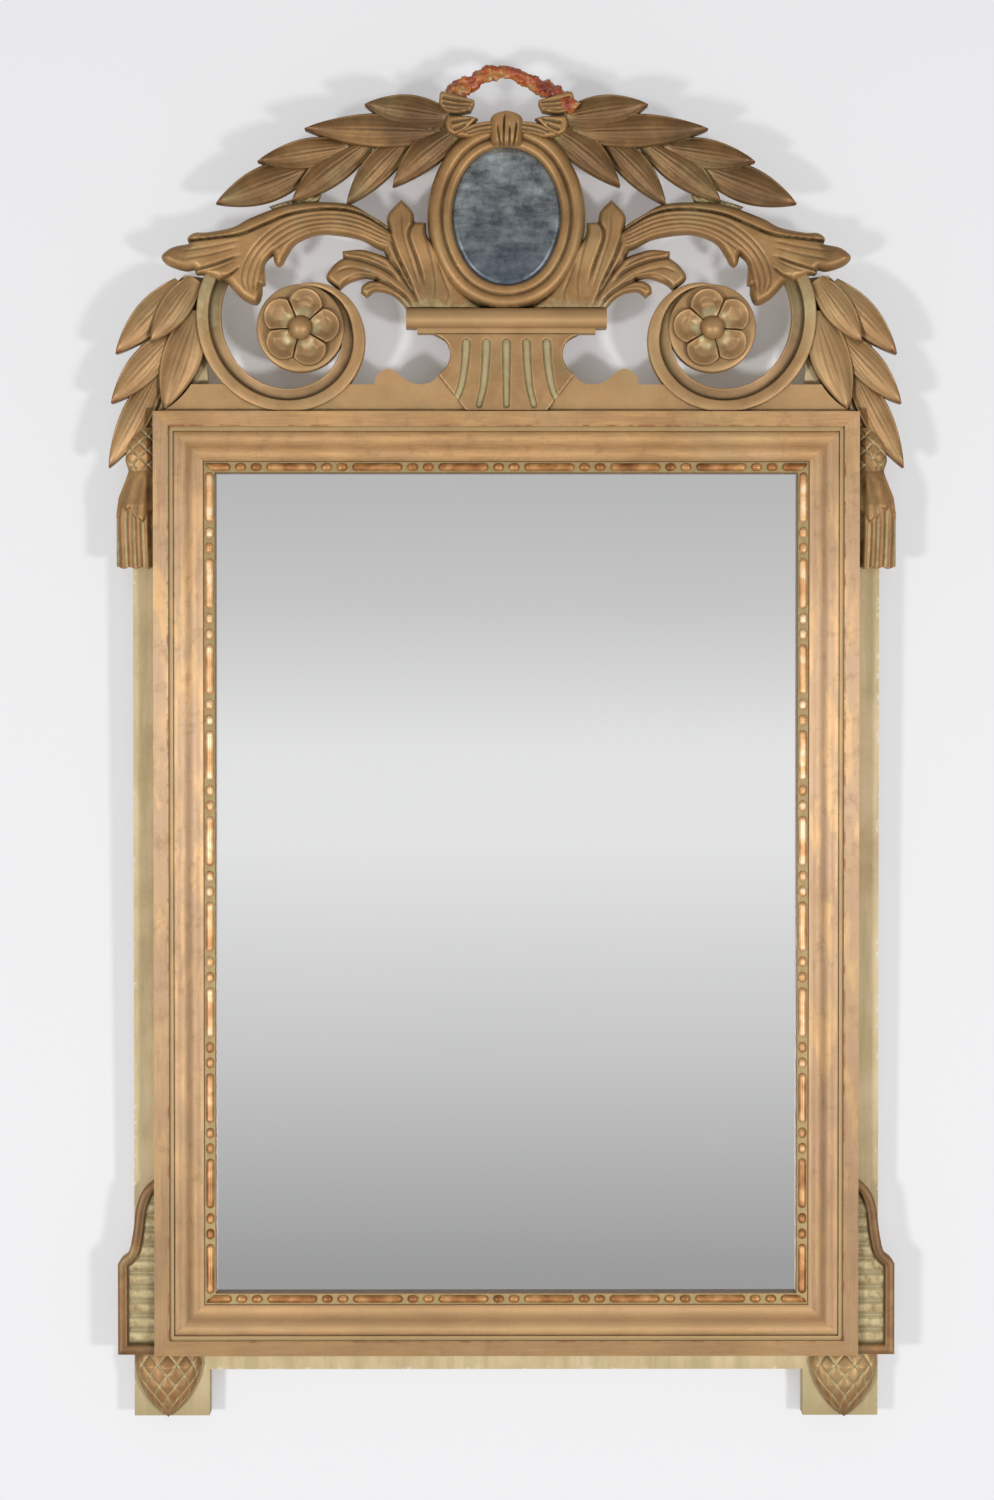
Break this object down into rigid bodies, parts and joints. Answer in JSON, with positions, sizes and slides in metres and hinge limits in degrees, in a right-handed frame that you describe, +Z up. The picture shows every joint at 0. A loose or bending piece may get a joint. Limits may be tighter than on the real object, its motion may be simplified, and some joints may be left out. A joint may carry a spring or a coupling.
{
  "type": "wall mirror",
  "caption": "Carved giltwood wall mirror: moulded frame with beaded sight edge, pierced crest with urn and oval glass, corner garlands and brackets, hung by rings.",
  "frame": {"origin": "middle of the bottom back rail's rear face, on the wall plane and the middle plane", "axes": "+Z up along the frame, +X to the right seen from the front, +Y into the wall; the front faces -Y"},
  "size_m": [0.7152, 0.0538, 1.2188],
  "materials": {
    "gilt_wood": "aged bronze-gold gilding, satin",
    "bright_gilt": "burnished gilding over green ground",
    "painted_ground": "matt khaki paint",
    "worn_bole": "worn red bole with gilding remains",
    "bare_wood": "unpainted old softwood",
    "mirror_glass": "silvered glass",
    "antique_glass": "foxed antique mirror",
    "screw_steel": "dulled steel",
    "hanger_brass": "tarnished brass"
  },
  "bodies": {
    "mirror": {"acanthus_left": "gilt_wood", "acanthus_right": "gilt_wood", "back_rail_bottom": "painted_ground", "back_rail_top": "painted_ground", "back_stile_left": "painted_ground", "back_stile_right": "painted_ground", "backing_board": "bare_wood", "backing_screws": "screw_steel", "bead_strip_bottom": "bright_gilt", "bead_strip_left": "bright_gilt", "bead_strip_right": "bright_gilt", "bead_strip_top": "bright_gilt", "bracket_left": "gilt_wood", "bracket_right": "gilt_wood", "crest_end_left": "gilt_wood", "crest_end_right": "gilt_wood", "crest_rail_left": "gilt_wood", "crest_rail_right": "gilt_wood", "crest_spine": "bare_wood", "ear_left": "painted_ground", "ear_right": "painted_ground", "garland_left": "gilt_wood", "garland_right": "gilt_wood", "glass_blocks": "bare_wood", "hanger_screws": "screw_steel", "hanger_strap_left": "hanger_brass", "hanger_strap_right": "hanger_brass", "laurel_left": "gilt_wood", "laurel_right": "gilt_wood", "mirror_glass": "mirror_glass", "mitre_splines": "bare_wood", "moulding_bottom": "gilt_wood", "moulding_left": "gilt_wood", "moulding_right": "gilt_wood", "moulding_top": "gilt_wood", "oval_backing": "bare_wood", "oval_frame": "gilt_wood", "oval_glass": "antique_glass", "pendant_left": "gilt_wood", "pendant_right": "gilt_wood", "ribbon_knot": "gilt_wood", "ribbon_loop": "worn_bole", "ribbon_tail_left": "gilt_wood", "ribbon_tail_right": "gilt_wood", "rosette_left": "gilt_wood", "rosette_right": "gilt_wood", "scroll_leaf_left": "gilt_wood", "scroll_leaf_right": "gilt_wood", "spine_screws": "screw_steel", "tassel_left": "gilt_wood", "tassel_right": "gilt_wood", "tenon_pegs": "bare_wood", "urn": "gilt_wood", "urn_rim": "gilt_wood", "volute_left": "gilt_wood", "volute_right": "gilt_wood"},
    "ring_left": {"hanger_ring_left": "hanger_brass"},
    "ring_right": {"hanger_ring_right": "hanger_brass"}
  },
  "joints": [
    {"name": "ring_left_swing", "type": "hinge", "parent": "mirror", "child": "ring_left", "pos_m": [-0.2, -0.0045, 0.85], "axis": [1, 0, 0], "range_deg": [0, 180]},
    {"name": "ring_right_swing", "type": "hinge", "parent": "mirror", "child": "ring_right", "pos_m": [0.2, -0.0045, 0.85], "axis": [1, 0, 0], "range_deg": [0, 180]}
  ]
}
